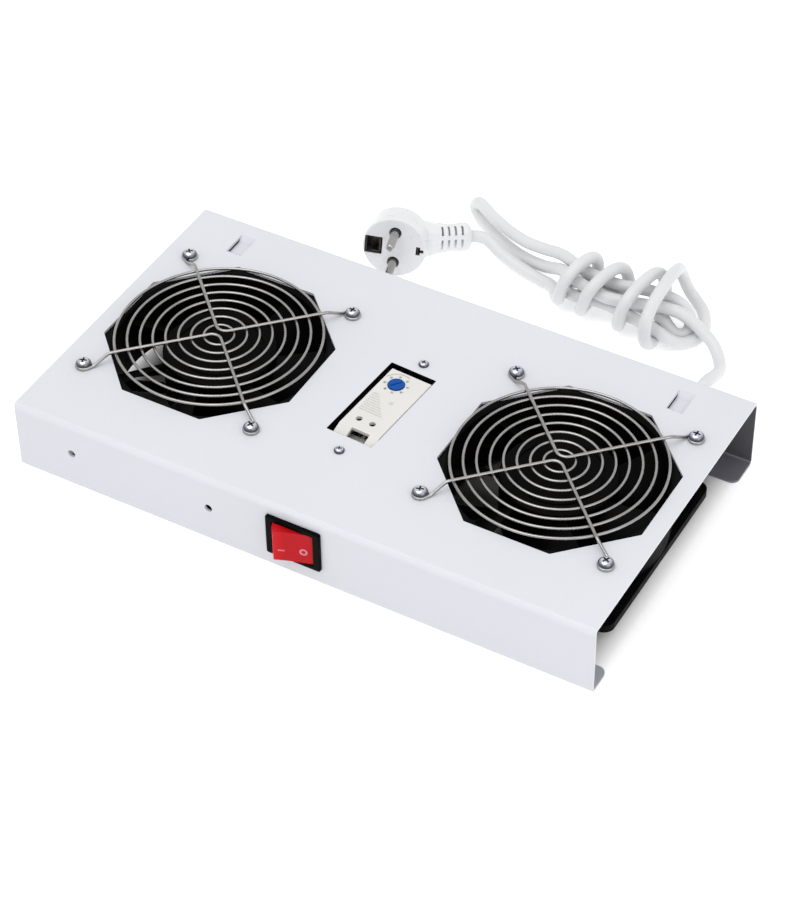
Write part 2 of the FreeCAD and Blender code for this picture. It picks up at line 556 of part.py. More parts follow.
# face profile: a shallow valley between two raised ends, +y is into the tray
pl = [Part.Arc(onarc(a0), onarc((a0 + a1) / 2), onarc(a1)).toShape(),
      Part.LineSegment(onarc(a1), V(5.5, 4.6, 0)).toShape(),
      Part.LineSegment(V(5.5, 4.6, 0), V(-5.5, 4.6, 0)).toShape(),
      Part.LineSegment(V(-5.5, 4.6, 0), onarc(a1, -1)).toShape(),
      Part.Arc(onarc(a1, -1), onarc((a0 + a1) / 2, -1), onarc(a0, -1)).toShape(),
      Part.Arc(onarc(a0, -1), V(-5.6, -5.22, 0), V(0, -5.1, 0)).toShape(),
      Part.Arc(V(0, -5.1, 0), V(5.6, -5.22, 0), onarc(a0)).toShape()]
prof = Part.Face(Part.Wire(pl))
rock = prof.extrude(V(0, 0, 20.0))
rock.translate(V(SW_X, PIV, SW_Z - 10.0))
rock = rock.cut(cyl(1.52, (SW_X, PIV, SW_Z - 12), (SW_X, PIV, SW_Z + 12)))
rock = turned(rock, (SW_X, PIV, 0), (0, 0, 1), SW_TILT)
parts["switch_rocker"] = solid(rock)
parts["switch_pivot_pin"] = cyl(1.5, (SW_X, PIV, SW_Z - 10.6), (SW_X, PIV, SW_Z + 10.6))
plunger = cyl(1.5, (SW_X, PIV + 4.6, SW_Z), (SW_X, PIV + 8.0, SW_Z)).fuse(cyl(0.9, (SW_X, PIV + 7.9, SW_Z), (SW_X, PIV + 9.6, SW_Z)))
parts["switch_plunger"] = solid(turned(plunger, (SW_X, PIV, 0), (0, 0, 1), SW_TILT))
SEE_Y = -83.0
see = box(SW_X - 8.5, SEE_Y - 0.4, SW_Z - 3.5, SW_X + 8.5, SEE_Y + 0.4, SW_Z + 3.5)
see = see.fuse(cyl(1.3, (SW_X - 7.5, SEE_Y, SW_Z), (SW_X - 7.5, SEE_Y + 1.0, SW_Z))).fuse(
    cyl(1.3, (SW_X + 7.5, SEE_Y, SW_Z), (SW_X + 7.5, SEE_Y + 1.0, SW_Z)))
see = see.fuse(cyl(1.0, (SW_X, SEE_Y, SW_Z - 3.5), (SW_X, SEE_Y, SW_Z + 3.5)))            # rolled hub on the fulcrum
see = see.cut(cyl(0.55, (SW_X, SEE_Y, SW_Z - 4), (SW_X, SEE_Y, SW_Z + 4)))
see = see.cut(prism([(SW_X, SEE_Y, SW_Z - 4), (SW_X + 2.6, SEE_Y + 1.5, SW_Z - 4), (SW_X - 2.6, SEE_Y + 1.5, SW_Z - 4)], (0, 0, 8)))
parts["switch_seesaw"] = solid(turned(see.removeSplitter(), (SW_X, SEE_Y, 0), (0, 0, 1), -SEESAW_TILT))
post = prism([(SW_X + 0.28, SEE_Y + 0.2, SW_Z - 3), (SW_X + 0.28, SEE_Y + 1.3, SW_Z - 3), (SW_X + 1.2, -79.5, SW_Z - 3),
              (SW_X - 1.2, -79.5, SW_Z - 3), (SW_X - 0.28, SEE_Y + 1.3, SW_Z - 3), (SW_X - 0.28, SEE_Y + 0.2, SW_Z - 3)], (0, 0, 6))
post = solid(post.fuse(cyl(0.5, (SW_X, SEE_Y, SW_Z - 3), (SW_X, SEE_Y, SW_Z + 3))).removeSplitter())
parts["switch_terminals"] = group([post] + [
    box(SW_X + dx - 0.4, -79.4, SW_Z + dz - 3.15, SW_X + dx + 0.4, -66.0, SW_Z + dz + 3.15) for dx, dz in TAB])
parts["switch_lamp"] = solid(cyl(1.9, (SW_X - 10.5, -85.1, SW_Z + 7.4), (SW_X - 1.5, -85.1, SW_Z + 7.4)))

# --------------------------------------------------- mains entry and wiring
gx, gz = GLAND_X, GLAND_Z
rel = cyl(8.5, (gx, RR, gz), (gx, RR + 2.2, gz)).fuse(cyl(6.4, (gx, RR - SHEET - 0.3, gz), (gx, RR + 0.5, gz)))
rel = rel.fuse(cyl(8.0, (gx, RR - SHEET - 3.0, gz), (gx, RR - SHEET - 0.05, gz)))
rel = rel.fuse(Part.makeCone(6.4, 4.5, 20.0, V(gx, RR + 2.0, gz), V(0, 1, 0)))
rel = rel.fuse(Part.makeCone(5.6, 6.4, 4.5, V(gx, RR - SHEET - 7.3, gz), V(0, 1, 0)))
for k in range(5):
    y = RR + 5.0 + 3.2 * k
    for s, off in ((1, 0), (-1, 0)):
        rel = rel.cut(box(gx + s * 1.0 if s > 0 else gx - 9, y, gz - 9, gx + 9 if s > 0 else gx - 1.0, y + 1.3, gz + 9).cut(
            cyl(4.15, (gx, y - 1, gz), (gx, y + 3, gz))))
parts["cord_bend_relief"] = solid(rel.removeSplitter())

tail = [(gx, RR - SHEET - 7.3, gz), (gx, 78.4, gz), (123.6, 70.6, gz + 0.4), (115.8, 66.0, gz + 1.0), (105.5, 65.2, gz + 1.8),
        (93.5, 68.2, gz + 3.0), (80.0, 73.2, gz + 4.4), (67.0, 78.6, gz + 5.6), (55.0, 83.0, gz + 6.2)]
parts["mains_cord_tail"] = tube(tail, CORD_R, "mains_cord_tail")
d = V(55.0 - 67.0, 83.0 - 78.6, 0.6)
d.normalize()
side = d.cross(V(0, 0, 1))
side.normalize()
up = side.cross(d)
cores = []
for a, b, zt in ((0.0, -1.9, 12.0), (-1.65, 0.95, 22.0), (1.65, 0.95, 32.0)):
    s0 = V(55.0, 83.0, gz + 6.2).add(V(side).multiply(a)).add(V(up).multiply(b))
    p1 = s0.add(V(d).multiply(2.6))
    cores.append(tube([tuple(s0), tuple(p1), (49.4, 85.9, (p1.z + zt) / 2), (46.6, 86.5, zt), (BLOCK_X1, 86.5, zt)], 1.2))
parts["mains_cord_cores"] = group(cores)

blk = rrect_z(BLOCK_X0, 79.5, BLOCK_X1, RR - SHEET, 7.0, 37.0, 0.8)
for z in (12.0, 22.0, 32.0):
    blk = blk.cut(cyl(2.6, (BLOCK_X0 + 1.2, 86.5, z), (BLOCK_X1 - 1.2, 86.5, z)))
    for x in (27.0, 39.0):
        blk = blk.cut(cyl(2.0, (x, 79, z), (x, 86.5, z)))
for z in (17.0, 27.0):
    blk = blk.cut(cyl(1.7, (33, 79, z), (33, 95, z)))
parts["terminal_block"] = solid(blk)
ins, iscr = [], []
for z in (12.0, 22.0, 32.0):
    c = cyl(2.5, (BLOCK_X0 + 1.4, 86.5, z), (BLOCK_X1 - 1.4, 86.5, z)).cut(cyl(1.5, (BLOCK_X0, 86.5, z), (BLOCK_X1, 86.5, z)))
    for x in (27.0, 39.0):
        c = c.cut(cyl(1.3, (x, 79, z), (x, 86.5, z)))
        iscr.append(solid(cyl(1.25, (x, 80.6, z), (x, 85.6, z)).cut(box(x - 2, 80, z - 0.25, x + 2, 81.4, z + 0.25))))
    ins.append(solid(c))
parts["terminal_inserts"] = group(ins)
parts["terminal_clamp_screws"] = group(iscr)
bs = []
for z in (17.0, 27.0):
    s = turned(pan_screw(1.5, 2.8, 1.9, 21.5), (0, 0, 0), (1, 0, 0), -90)
    bs.append(moved(s, 33, RR, z))
parts["terminal_block_screws"] = group(bs)
for z in (17.0, 27.0):
    m3_nuts.append(moved(turned(m3n, (0, 0, 0), (1, 0, 0), 90), 33, 79.5, z))
parts["m3_nuts"] = group(m3_nuts)

m4_screws.append(moved(turned(screw, (0, 0, 0), (1, 0, 0), -90), EARTH_X, RR, EARTH_Z))
parts["m4_screws"] = group(m4_screws)
lug = ring(4.6, 2.2, (EARTH_X, 92.7, EARTH_Z), (EARTH_X, 93.5, EARTH_Z))
lug = lug.fuse(box(EARTH_X - 13, 92.7, EARTH_Z - 1.6, EARTH_X - 3.6, 93.5, EARTH_Z + 1.6))
lug = lug.fuse(cyl(1.9, (EARTH_X - 15, 91.6, EARTH_Z), (EARTH_X - 9.0, 91.6, EARTH_Z)))
parts["earth_lug"] = solid(lug.removeSplitter())
m4_nuts.append(moved(turned(nut, (0, 0, 0), (1, 0, 0), 90), EARTH_X, 92.7, EARTH_Z))
parts["m4_nuts"] = group(m4_nuts)
parts["earth_lead"] = tube([(EARTH_X - 15, 91.6, EARTH_Z), (EARTH_X - 17.4, 91.6, EARTH_Z), (47.4, 90.9, 27.2),
                            (47.2, 90.0, 22.6), (BLOCK_X1, 90.0, 22.6)], 1.2)

parts["lead_switch"] = tube([(BLOCK_X0, 86.5, 32), (15.5, 86.5, 32), (10.5, 81.0, 31.6), (12.5, 70.0, 30.6), (20.0, 57.0, 29.4),
                             (26.5, 40.0, 28.0), (28.0, 18.0, 27.0), (27.4, -4.0, 26.4), (28.2, -26.0, 26.0), (26.5, -44.0, 25.6),
                             (21.0, -51.5, 25.6), (12.5, -55.0, 27.2), (8.0, -60.0, 29.0), (8.0, -66.0, 29.0)], 1.8, "lead_switch")
parts["lead_thermostat"] = tube([(BLOCK_X0, 86.5, 22), (16.5, 86.5, 22), (12.0, 80.5, 21.6), (13.0, 70.0, 20.6), (17.5, 56.0, 19.0),
                                 (20.5, 40.0, 17.6), (20.0, 20.0, 17.2), (20.8, 2.0, 18.0), (21.2, -13.0, 21.5), (19.4, -21.5, 26.5),
                                 (15.3, -25.3, 29.8), (10.6, -25.7, 30.0)], 1.8, "lead_thermostat")
ar = math.radians(150)
fx, fy = FAN_PITCH / 2 + (BARREL_R + 0.05) * math.cos(ar), (BARREL_R + 0.05) * math.sin(ar)
parts["lead_fan_right"] = tube([(fx, fy, 15), (fx - 6.5, fy + 3.7, 15), (39.5, 41.0, 15.2), (35.0, 52.0, 14.6), (28.0, 63.0, 13.6),
                                (19.0, 73.0, 12.6), (13.2, 79.6, 12.0), (15.6, 84.8, 12.0), (BLOCK_X0, 84.8, 12.0)], 1.6, "lead_fan_right")
fx = -FAN_PITCH / 2 - (BARREL_R + 0.05) * math.cos(ar)
parts["lead_fan_left"] = tube([(fx, fy, 15), (fx + 6.5, fy + 3.7, 15), (-38.0, 42.0, 14.8), (-29.0, 55.0, 14.0), (-16.0, 68.0, 13.0),
                               (-3.0, 80.0, 12.2), (10.0, 88.6, 12.0), (BLOCK_X0, 88.6, 12.0)], 1.6, "lead_fan_left")

# ------------------------------------------------------------------ the plug
# local frame: face centre at the origin, pins along +Z, neck along +X
P_ORG = V(-74.1, 139.6, 20.75)
p_dir = V(0.3281, -0.9277, 0.1783)
n_dir = V(0.9446, 0.3233, -0.0566)
p_dir.normalize()
n_dir = n_dir.sub(V(p_dir).multiply(n_dir.dot(p_dir)))
n_dir.normalize()
q_dir = p_dir.cross(n_dir)
PM = FreeCAD.Matrix(n_dir.x, q_dir.x, p_dir.x, P_ORG.x, n_dir.y, q_dir.y, p_dir.y, P_ORG.y,
                    n_dir.z, q_dir.z, p_dir.z, P_ORG.z, 0, 0, 0, 1)
PR, PD = 18.4, 20.0


def place(s):
    c = s.copy()
    c.transformShape(PM)
    return c


pb = Part.makeCylinder(PR, PD, V(0, 0, -PD))
pb = pb.makeFillet(1.0, [k for k in pb.Edges if k.BoundBox.ZMin > -0.05])
pb = pb.makeFillet(6.0, [k for k in pb.Edges if k.BoundBox.ZMax < -PD + 0.05])


def oval(x, hy, hz, zc):
    pts = []
    for k in range(16):
        a = 2 * math.pi * k / 16
        ca, sa = math.cos(a), math.sin(a)
        pts.append(V(x, math.copysign(abs(ca) ** 0.7, ca) * hy, zc + math.copysign(abs(sa) ** 0.7, sa) * hz))
    c = Part.BSplineCurve()
    c.interpolate(pts, PeriodicFlag=True)
    return Part.Wire([c.toShape()])


NZ = -12.0
NECK_TILT = 23.5                     # the neck leans back from the face
N_PIV = (6.0, 0.0, -12.0)


def leaned(s):
    return turned(s, N_PIV, (0, 1, 0), NECK_TILT)


neck = Part.makeLoft([oval(6, 12.5, 6.9, NZ), oval(16, 11.0, 6.6, NZ), oval(22.8, 9.0, 6.4, NZ)], True, False)
pb = pb.fuse(leaned(neck))
for s in (-1, 1):                    # pin recesses
    pb = pb.cut(cyl(3.6, (0, s * 9.5, -2.2), (0, s * 9.5, 1)))
    pb = pb.cut(cyl(2.45, (0, s * 9.5, -12), (0, s * 9.5, 1)))
pb = pb.cut(rrect_z(-17.2, -5.6, -7.0, 5.6, -9.0, 1.0, 0.8))      # earth socket window
pb = pb.cut(box(12.6, -2.6, -7.0, 15.0, 2.6, 1.0))                # earth clip slot by the neck
pb = pb.cut(box(15.0, -1.0, -2.0, 17.0, 1.0, 1.0))
parts["plug_body"] = place(solid(pb.removeSplitter()))
pins = []
for s in (-1, 1):
    c = cyl(2.4, (0, s * 9.5, -11.8), (0, s * 9.5, 19))
    c = c.makeFillet(1.6, [k for k in c.Edges if k.BoundBox.ZMin > 18.9])
    pins.append(place(c))
parts["plug_pins"] = group(pins)
earth = box(-16.8, -5.0, -8.8, -16.0, 5.0, -1.0).fuse(box(-16.2, -5.0, -8.8, -8.0, 5.0, -8.0)).fuse(
    box(-12.6, -4.9, -5.2, -8.0, -3.9, -1.2)).fuse(box(-12.6, 3.9, -5.2, -8.0, 4.9, -1.2)).fuse(
    box(-9.0, -4.9, -8.2, -8.0, 4.9, -1.2))
clip = box(13.2, -2.2, -6.8, 13.9, 2.2, -0.8)
parts["plug_earth_contacts"] = group([place(solid(earth.removeSplitter())), place(clip)])
rl = Part.makeLoft([oval(22.8, 9.0, 6.4, NZ), oval(27.5, 8.3, 6.2, NZ), oval(33, 8.0, 6.0, NZ), oval(42, 7.2, 5.6, NZ),
                    oval(43, 5.6, 4.8, NZ)], True, False)
for k in range(4):
    x = 24.3 + 4.0 * k
    for yc in (-3.9, 3.9):
        for za, zb in ((3.2, 9.5), (-9.5, -3.2)):
            rl = rl.cut(turned(box(x, yc - 2.6, NZ + za, x + 1.3, yc + 2.6, NZ + zb), (0, 0, NZ), (1, 0, 0), -27))
parts["plug_bend_relief"] = place(leaned(solid(rl)))
e_dir = V(n_dir).multiply(math.cos(math.radians(NECK_TILT))).add(V(p_dir).multiply(-math.sin(math.radians(NECK_TILT))))
PLUG_END = P_ORG.add(V(n_dir).multiply(N_PIV[0])).add(V(p_dir).multiply(NZ)).add(V(e_dir).multiply(43.0 - N_PIV[0]))
print("plug relief end", PLUG_END, "direction", e_dir, "lowest", parts["plug_body"].BoundBox.ZMin)

# ------------------------------------------------------------------ the cord
HANK_X1, HANK_XM = 109.0, 12.0
exit_y = RR + 22.0
run_out = [(gx, exit_y, gz), (gx, exit_y + 8.5, gz), (gx + 0.4, 136.5, 11.0), (gx - 0.4, 147.5, 5.6), (123.2, 157.2, 4.8),
           (116.2, 164.4, 8.0), (HANK_X1, 167.4, 10.6)]
parts["mains_cord_lead"] = tube(run_out, CORD_R, "mains_cord_lead")
E = PLUG_END
e1 = E.add(V(e_dir).multiply(5.0))
run_plug = [tuple(E), tuple(e1), (-36.4, 181.9, 12.0), (-30.4, 179.9, 10.3), (-25.0, 177.6, 8.7), (-16.2, 175.6, 6.7), (-5.9, 174.0, 5.0), (4.5, 172.5, 3.7),
            (HANK_XM, 172.5, 3.7)]
parts["mains_cord_plug_end"] = tube(run_plug, CORD_R, "mains_cord_plug_end")


def cap_sec(c, d, y0, y1, z0, z1, k=0.28):
    """Section through c square to d; y and z are measured from c across and up."""
    w = V(0, 0, 1).cross(d)
    w.normalize()
    w = w.multiply(-1.0) if w.y < 0 else w
    h = w.cross(d)
    h = h.multiply(-1.0) if h.z < 0 else h
    cy, cz = (y1 - y0) * k, (z1 - z0) * k
    uv = [(y0 + cy, z0), (y1 - cy, z0), (y1, z0 + cz), (y1, z1 - cz), (y1 - cy, z1), (y0 + cy, z1), (y0, z1 - cz), (y0, z0 + cz)]
    pts = [c.add(V(w).multiply(a)).add(V(h).multiply(b)) for a, b in uv]
    return Part.makePolygon(pts + [pts[0]])


def hank_sec(x, y0, y1, z0, z1, c=0.28):
    cy, cz = (y1 - y0) * c, (z1 - z0) * c
    pts = [(x, y0 + cy, z0), (x, y1 - cy, z0), (x, y1, z0 + cz), (x, y1, z1 - cz), (x, y1 - cy, z1), (x, y0 + cy, z1),
           (x, y0, z1 - cz), (x, y0, z0 + cz)]
    return Part.makePolygon([V(*p) for p in pts] + [V(*pts[0])])


cap_d = V(*run_out[-2]).sub(V(*run_out[-1]))
cap_d.normalize()
cap = cap_sec(V(*run_out[-1]), cap_d, -11.0, 13.0, -9.8, 6.0)
hk_main = Part.makeLoft([hank_sec(HANK_XM, 152.5, 188, 0.05, 30), hank_sec(36, 151, 187.5, 0.05, 31), hank_sec(66, 147.5, 191, 0.05, 32),
                         hank_sec(86, 139.5, 201, 0.05, 32.5), hank_sec(98, 151, 201, 0.05, 20), cap],
                        True, True)
hk_left = Part.makeLoft([hank_sec(-61, 200, 214, 0.05, 17), hank_sec(-40, 190.5, 203.5, 0.05, 19.5), hank_sec(-16, 181.4, 191.5, 0.05, 20.5),
                         hank_sec(HANK_XM + 0.5, 176.2, 188, 0.05, 24)], True, True)
hank = hk_main.fuse(hk_left)
parts["mains_cord_hank"] = solid(hank.removeSplitter())

# ------------------------------------------------------------------- writing
CORD_NODES = ("mains_cord_lead", "mains_cord_hank", "mains_cord_plug_end", "plug_body", "plug_pins", "plug_earth_contacts",
              "plug_bend_relief", "cord_bend_relief")
ys, xs = [], []
for name, s in parts.items():
    if name not in CORD_NODES:
        for q in s.tessellate(0.05)[0]:
            xs.append(q.x)
            ys.append(q.y)
Y_OFF = -(min(ys) + max(ys)) / 2.0
X_OFF = -(min(xs) + max(xs)) / 2.0
print("box without the cord: x %.3f %.3f, y %.3f %.3f, X_OFF %.4f, Y_OFF %.4f" % (min(xs), max(xs), min(ys), max(ys), X_OFF, Y_OFF))

os.makedirs("parts", exist_ok=True)
for name, s in parts.items():
    out = moved(s, X_OFF, Y_OFF, 0)
    bad = [k for k in out.Solids if not k.isValid() or k.Volume <= 0]
    print("%-30s solids %2d  faces %4d  volume %10.1f  %s" % (name, len(out.Solids), len(out.Faces), out.Volume,
                                                            "INVALID" if bad or not out.isValid() else ""))
    out.exportStep("parts/%s.step" % name)
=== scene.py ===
import math

import bmesh
import bpy
from mathutils import Matrix, Vector
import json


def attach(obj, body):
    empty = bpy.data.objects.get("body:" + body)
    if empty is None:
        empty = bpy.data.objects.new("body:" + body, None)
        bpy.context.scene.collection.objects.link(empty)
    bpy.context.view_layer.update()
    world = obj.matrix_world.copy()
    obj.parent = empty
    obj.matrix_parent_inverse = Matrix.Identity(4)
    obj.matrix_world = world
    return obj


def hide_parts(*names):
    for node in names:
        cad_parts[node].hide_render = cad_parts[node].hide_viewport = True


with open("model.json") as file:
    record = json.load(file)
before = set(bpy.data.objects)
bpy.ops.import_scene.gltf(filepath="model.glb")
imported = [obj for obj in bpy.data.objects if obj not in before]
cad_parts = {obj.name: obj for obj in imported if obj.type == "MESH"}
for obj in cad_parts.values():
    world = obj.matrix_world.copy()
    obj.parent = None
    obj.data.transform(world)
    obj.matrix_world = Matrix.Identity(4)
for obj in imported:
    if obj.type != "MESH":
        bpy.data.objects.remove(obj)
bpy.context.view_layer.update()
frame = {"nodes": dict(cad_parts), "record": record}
nodes = frame["nodes"]
scene = bpy.context.scene
scene.view_settings.view_transform = "Standard"
scene.view_settings.look = "None"
scene.view_settings.exposure = 0.0

Y_OFF = 0.0023827       # from the tray's own middle to the row frame
ZT = 0.044              # top of the plate

# ------------------------------------------------------------------ camera
AZ, EL, ROLL = math.radians(30.008), math.radians(42.899), math.radians(-0.780)
back = Vector((math.sin(AZ) * math.cos(EL), -math.cos(AZ) * math.cos(EL), math.sin(EL)))
right = Vector((math.cos(AZ), math.sin(AZ), 0.0))
up = back.cross(right)
cr = right * math.cos(ROLL) + up * math.sin(ROLL)
cu = up * math.cos(ROLL) - right * math.sin(ROLL)
cam_data = bpy.data.cameras.new("camera")
cam = bpy.data.objects.new("camera", cam_data)
scene.collection.objects.link(cam)
look = Vector((0.02437, -0.02728 + Y_OFF, ZT))
pos = look + back * 1.46259
m = Matrix.Identity(4)
for i in range(3):
    m[i][0], m[i][1], m[i][2], m[i][3] = cr[i], cu[i], back[i], pos[i]
cam.matrix_world = m
cam_data.sensor_fit = "AUTO"
cam_data.sensor_width = 36.0
cam_data.lens = 2832.92 * 36.0 / 897.0
cam_data.clip_start, cam_data.clip_end = 0.05, 30.0
scene.camera = cam

# -------------------------------------------------------------------- cord
CORD = [
    (0.12800, 0.11938, 0.01500), (0.12800, 0.12788, 0.01500), (0.12840, 0.13888, 0.01100),
    (0.12760, 0.14988, 0.00560), (0.12320, 0.15958, 0.00480), (0.11620, 0.16678, 0.00800),
    (0.10900, 0.16978, 0.01060), (0.10100, 0.17188, 0.01400), (0.09250, 0.17238, 0.01750),
    (0.08400, 0.17088, 0.01870), (0.07300, 0.16778, 0.01870), (0.06000, 0.16438, 0.01820),
    (0.04700, 0.16288, 0.01820), (0.02800, 0.16838, 0.01880), (0.02000, 0.17358, 0.01720),
    (0.01200, 0.18038, 0.01200), (0.00170, 0.18308, 0.00700), (-0.01600, 0.18788, 0.00450),
    (-0.03680, 0.19768, 0.00370), (-0.04600, 0.20388, 0.00370), (-0.05450, 0.20938, 0.00370),
    (-0.05950, 0.21188, 0.00960), (-0.05450, 0.20868, 0.01600), (-0.04600, 0.20318, 0.01600),
    (-0.03720, 0.19808, 0.01550), (-0.01670, 0.18848, 0.01600), (-0.00030, 0.18638, 0.01700),
    (0.01100, 0.18538, 0.01900), (0.02000, 0.18138, 0.01950), (0.03000, 0.17788, 0.01880),
    (0.04750, 0.17588, 0.01840), (0.06000, 0.17788, 0.01840), (0.06900, 0.18088, 0.01840),
    (0.08560, 0.18098, 0.01800), (0.09230, 0.18058, 0.01420), (0.09660, 0.17838, 0.00960),
    (0.09800, 0.17398, 0.00580), (0.09560, 0.16998, 0.00400), (0.09120, 0.16838, 0.00440),
    (0.08680, 0.16938, 0.00740), (0.08150, 0.17188, 0.01110), (0.07200, 0.17238, 0.01120),
    (0.04700, 0.17488, 0.01120), (0.03500, 0.17738, 0.01100), (0.02750, 0.17668, 0.01090),
    (0.02280, 0.17398, 0.01090), (0.02120, 0.16998, 0.01090), (0.02320, 0.16598, 0.01100),
    (0.02800, 0.16358, 0.01130), (0.03500, 0.16398, 0.01190), (0.04600, 0.16588, 0.01150),
    (0.06000, 0.16398, 0.01170), (0.07250, 0.16078, 0.01140), (0.08600, 0.15688, 0.01280),
    (0.09200, 0.15738, 0.00900), (0.09750, 0.16138, 0.00480), (0.10230, 0.16778, 0.00370),
    (0.10490, 0.17598, 0.00370), (0.10320, 0.18428, 0.00370), (0.09780, 0.19428, 0.00370),
    (0.09040, 0.20078, 0.00370), (0.08300, 0.20388, 0.00750), (0.07900, 0.19982, 0.02381),
    (0.07980, 0.19454, 0.02847), (0.08050, 0.18553, 0.03127), (0.08117, 0.17041, 0.03211),
    (0.08183, 0.15747, 0.03094), (0.08250, 0.14908, 0.02783), (0.08303, 0.14471, 0.02284),
    (0.08357, 0.14431, 0.01472), (0.08410, 0.14783, 0.00902), (0.08382, 0.15518, 0.00529),
    (0.08113, 0.16595, 0.00370), (0.07883, 0.17981, 0.00370), (0.07683, 0.18728, 0.00573),
    (0.07490, 0.19106, 0.00965), (0.07370, 0.19252, 0.01561), (0.07250, 0.19109, 0.02315),
    (0.07130, 0.18702, 0.02760), (0.07005, 0.18080, 0.03029), (0.06878, 0.17055, 0.03110),
    (0.06752, 0.16177, 0.02997), (0.06625, 0.15607, 0.02696), (0.06498, 0.15292, 0.02216),
    (0.06372, 0.15247, 0.01433), (0.06245, 0.15473, 0.00883), (0.06090, 0.15969, 0.00522),
    (0.05850, 0.16712, 0.00370), (0.05675, 0.17724, 0.00370), (0.05546, 0.18324, 0.00561),
    (0.05418, 0.18676, 0.00925), (0.05289, 0.18788, 0.01473), (0.05161, 0.18664, 0.02159),
    (0.05032, 0.18325, 0.02552), (0.04865, 0.17814, 0.02793), (0.04685, 0.16980, 0.02866),
    (0.04505, 0.16273, 0.02763), (0.04325, 0.15819, 0.02490), (0.04145, 0.15573, 0.02052),
    (0.03965, 0.15543, 0.01338), (0.03785, 0.15730, 0.00838), (0.03635, 0.16125, 0.00510),
    (0.03575, 0.16745, 0.00370), (0.03525, 0.17644, 0.00370), (0.03482, 0.18210, 0.00554),
    (0.03439, 0.18573, 0.00912), (0.03396, 0.18729, 0.01460), (0.03354, 0.18671, 0.02160),
    (0.03311, 0.18406, 0.02580), (0.03185, 0.17932, 0.02832), (0.03032, 0.17135, 0.02907),
    (0.02878, 0.16456, 0.02802), (0.02725, 0.16019, 0.02524), (0.02572, 0.15780, 0.02079),
    (0.02418, 0.15749, 0.01354), (0.02265, 0.15927, 0.00845), (0.01830, 0.16488, 0.00460),
    (0.01550, 0.16988, 0.00370), (0.01100, 0.17418, 0.00370), (0.00450, 0.17488, 0.00370),
    (-0.00590, 0.17638, 0.00500), (-0.01620, 0.17798, 0.00670), (-0.02500, 0.17998, 0.00870),
    (-0.03040, 0.18228, 0.01030), (-0.03640, 0.18428, 0.01200), (-0.04148, 0.18304, 0.01311),
    (-0.04516, 0.17970, 0.01372),
]
curve = bpy.data.curves.new("mains_cord", "CURVE")
curve.dimensions = "3D"
sp = curve.splines.new("NURBS")
sp.points.add(len(CORD) - 1)
for i, p in enumerate(CORD):
    sp.points[i].co = (p[0], p[1], p[2], 1.0)
    sp.points[i].radius = 0.0036
sp.order_u = 3
sp.use_endpoint_u = True
curve.resolution_u = 10
curve.bevel_depth = 1.0        # times each point's radius below
curve.bevel_resolution = 7
curve.use_fill_caps = True
cord = bpy.data.objects.new("mains_cord", curve)
scene.collection.objects.link(cord)
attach(cord, "tray")
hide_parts("mains_cord_lead", "mains_cord_hank", "mains_cord_plug_end")


